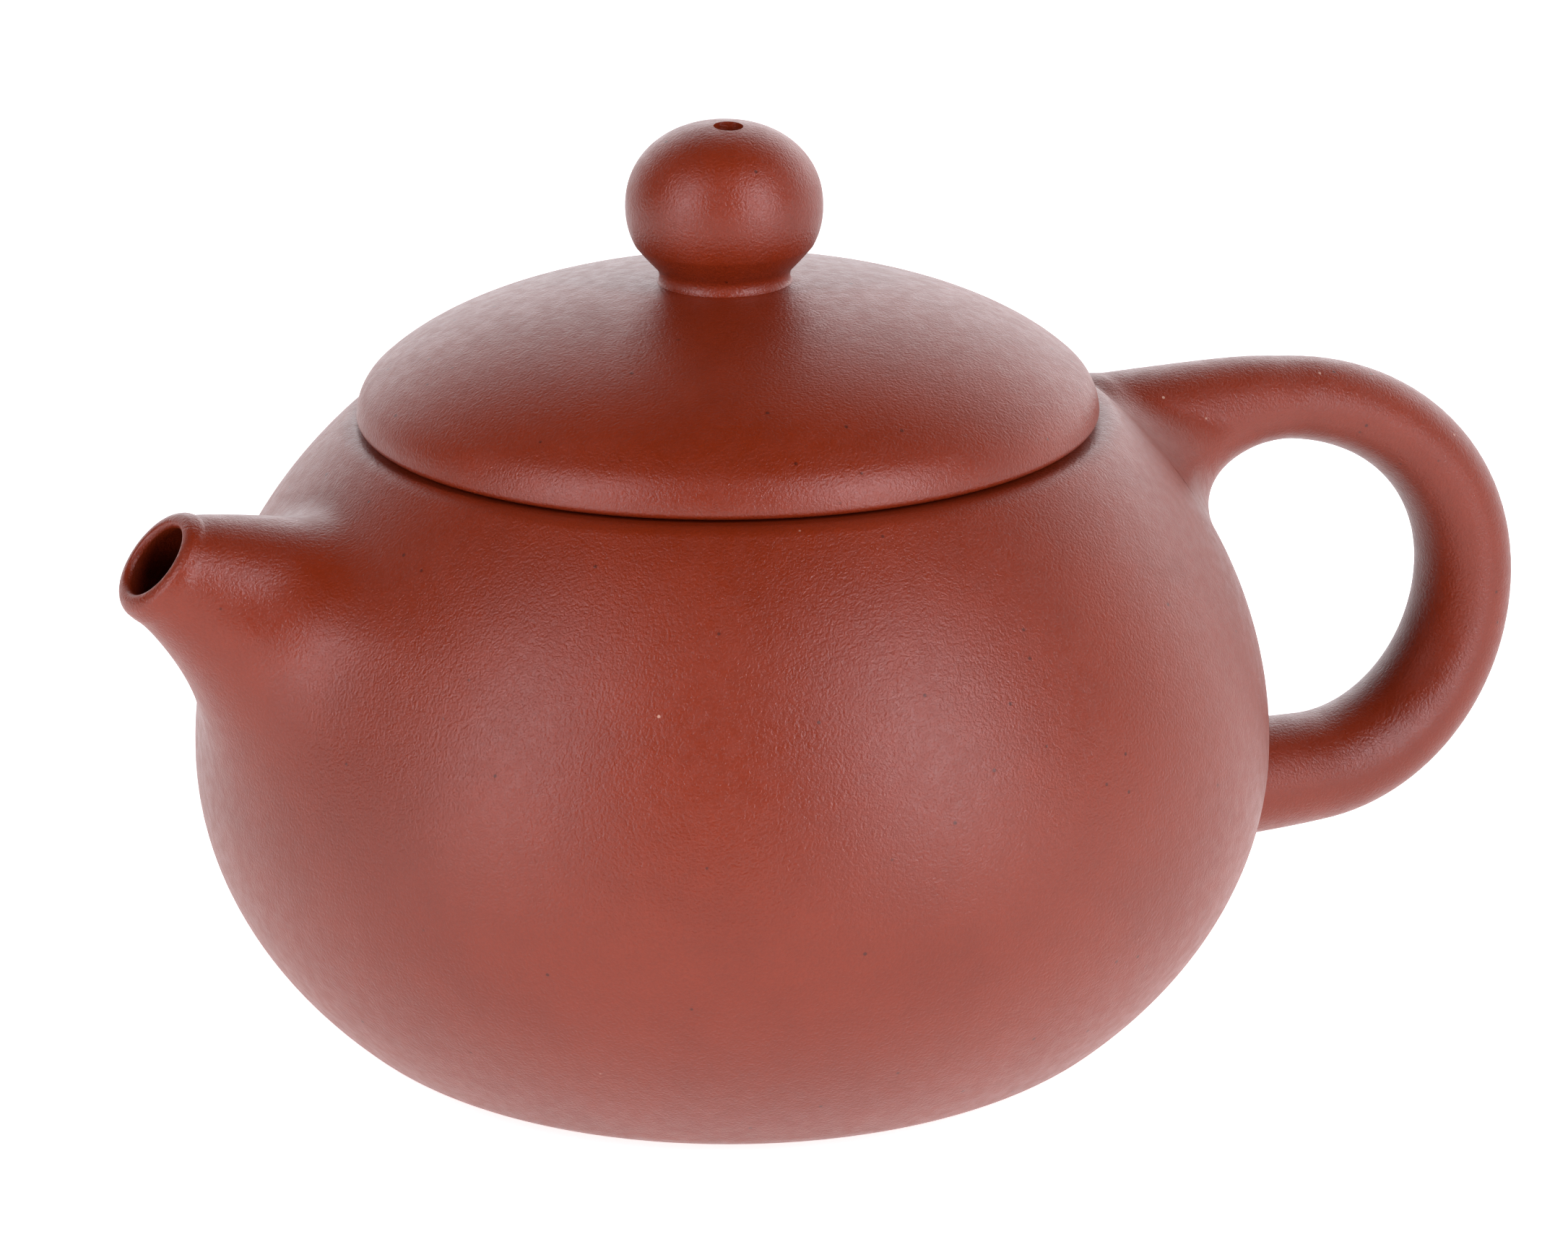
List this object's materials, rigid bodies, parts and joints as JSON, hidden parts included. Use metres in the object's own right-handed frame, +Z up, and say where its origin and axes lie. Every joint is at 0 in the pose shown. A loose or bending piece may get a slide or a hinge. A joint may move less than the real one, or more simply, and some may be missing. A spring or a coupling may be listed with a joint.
{
  "type": "clay teapot",
  "caption": "Round unglazed clay teapot with a short spout, a looped handle and a lift-off domed lid with a ball knob.",
  "frame": {"origin": "centre of the ring that the pot rests on, at table height", "axes": "+Z up along the pot's axis, +X towards the handle, -X towards the spout"},
  "size_m": [0.1297, 0.09, 0.078],
  "materials": {
    "clay": "unglazed fine-grained reddish-brown clay, matte with a faint burnished sheen",
    "clay_inner": "the same clay inside the pot, unburnished and fully matte"
  },
  "bodies": {
    "pot": {"body_wall": "clay", "base_disc": "clay", "shoulder_disc": "clay", "mouth_ring": "clay_inner", "spout": "clay", "strainer": "clay_inner", "handle": "clay"},
    "flange": {"lid_flange": "clay_inner"},
    "lid": {"lid_dome": "clay", "knob": "clay"}
  },
  "joints": [
    {"name": "lid_lift", "type": "slide", "parent": "pot", "child": "flange", "axis": [0, 0, 1], "range_m": [0, 0.045]},
    {"name": "lid_turn", "type": "hinge", "parent": "flange", "child": "lid", "pos_m": [0, 0, 0.0532], "axis": [0, 0, 1], "continuous": true}
  ]
}
